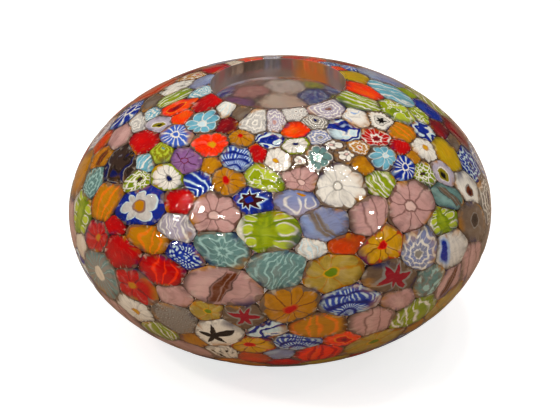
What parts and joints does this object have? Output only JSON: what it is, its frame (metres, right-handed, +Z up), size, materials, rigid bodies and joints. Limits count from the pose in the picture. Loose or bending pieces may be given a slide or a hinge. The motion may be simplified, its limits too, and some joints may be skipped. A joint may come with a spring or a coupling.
{
  "type": "art glass bowl",
  "caption": "Closed-form decorative glass bowl: a flattened globe of fused patterned cane slices under clear glass, with a round mouth and a flat ground base.",
  "frame": {"origin": "centre of the flat ground base, on the surface it stands on", "axes": "+Z up through the centre of the mouth; -Y is the front shown first; +X to the right"},
  "size_m": [0.1498, 0.1498, 0.0913],
  "materials": {
    "clear_glass": "polished clear glass, faintly warm, with small lumps over the slices",
    "cane_red": "opaque patterned cane glass, glossy",
    "cane_orange": "opaque patterned cane glass, glossy",
    "cane_amber": "opaque patterned cane glass, glossy",
    "cane_white": "opaque patterned cane glass, glossy",
    "cane_cobalt": "opaque patterned cane glass, glossy",
    "cane_aqua": "opaque patterned cane glass, glossy",
    "cane_teal": "opaque patterned cane glass, glossy",
    "cane_lime": "opaque patterned cane glass, glossy",
    "cane_rose": "opaque patterned cane glass, glossy",
    "cane_lavender": "opaque patterned cane glass, glossy",
    "cane_smoke": "clear brown-grey glass with patterned threads, glossy"
  },
  "bodies": {
    "root": {"outer_casing": "clear_glass", "inner_gather": "clear_glass", "murrine_flank_01": "cane_amber", "murrine_flank_02": "cane_lime", "murrine_crown_01": "cane_aqua", "murrine_waist_01": "cane_lime", "murrine_flank_03": "cane_rose", "murrine_underside_01": "cane_amber", "murrine_shoulder_01": "cane_lime", "murrine_waist_02": "cane_red", "murrine_crown_02": "cane_smoke", "murrine_shoulder_02": "cane_cobalt", "murrine_flank_04": "cane_lavender", "murrine_flank_05": "cane_amber", "murrine_crown_03": "cane_lime", "murrine_underside_02": "cane_amber", "murrine_waist_03": "cane_amber", "murrine_crown_04": "cane_smoke", "murrine_shoulder_03": "cane_rose", "murrine_flank_06": "cane_rose", "murrine_waist_04": "cane_lime", "murrine_crown_05": "cane_aqua", "murrine_waist_05": "cane_white", "murrine_underside_03": "cane_red", "murrine_flank_07": "cane_red", "murrine_shoulder_04": "cane_amber", "murrine_crown_06": "cane_lime", "murrine_waist_06": "cane_white", "murrine_flank_08": "cane_teal", "murrine_crown_07": "cane_cobalt", "murrine_underside_04": "cane_smoke", "murrine_shoulder_05": "cane_white", "murrine_underside_05": "cane_teal", "murrine_waist_07": "cane_white", "murrine_shoulder_06": "cane_lavender", "murrine_flank_09": "cane_red", "murrine_flank_10": "cane_white", "murrine_crown_08": "cane_cobalt", "murrine_shoulder_07": "cane_amber", "murrine_waist_08": "cane_lime", "murrine_flank_11": "cane_rose", "murrine_shoulder_08": "cane_cobalt", "murrine_underside_06": "cane_cobalt", "murrine_shoulder_09": "cane_amber", "murrine_flank_12": "cane_white", "murrine_crown_09": "cane_red", "murrine_base_01": "cane_smoke", "murrine_waist_09": "cane_amber", "murrine_flank_13": "cane_amber", "murrine_shoulder_10": "cane_amber", "murrine_waist_10": "cane_red", "murrine_crown_10": "cane_red", "murrine_waist_11": "cane_teal", "murrine_underside_07": "cane_white", "murrine_shoulder_11": "cane_aqua", "murrine_flank_14": "cane_lime", "murrine_waist_12": "cane_amber", "murrine_shoulder_12": "cane_white"}
  },
  "joints": []
}
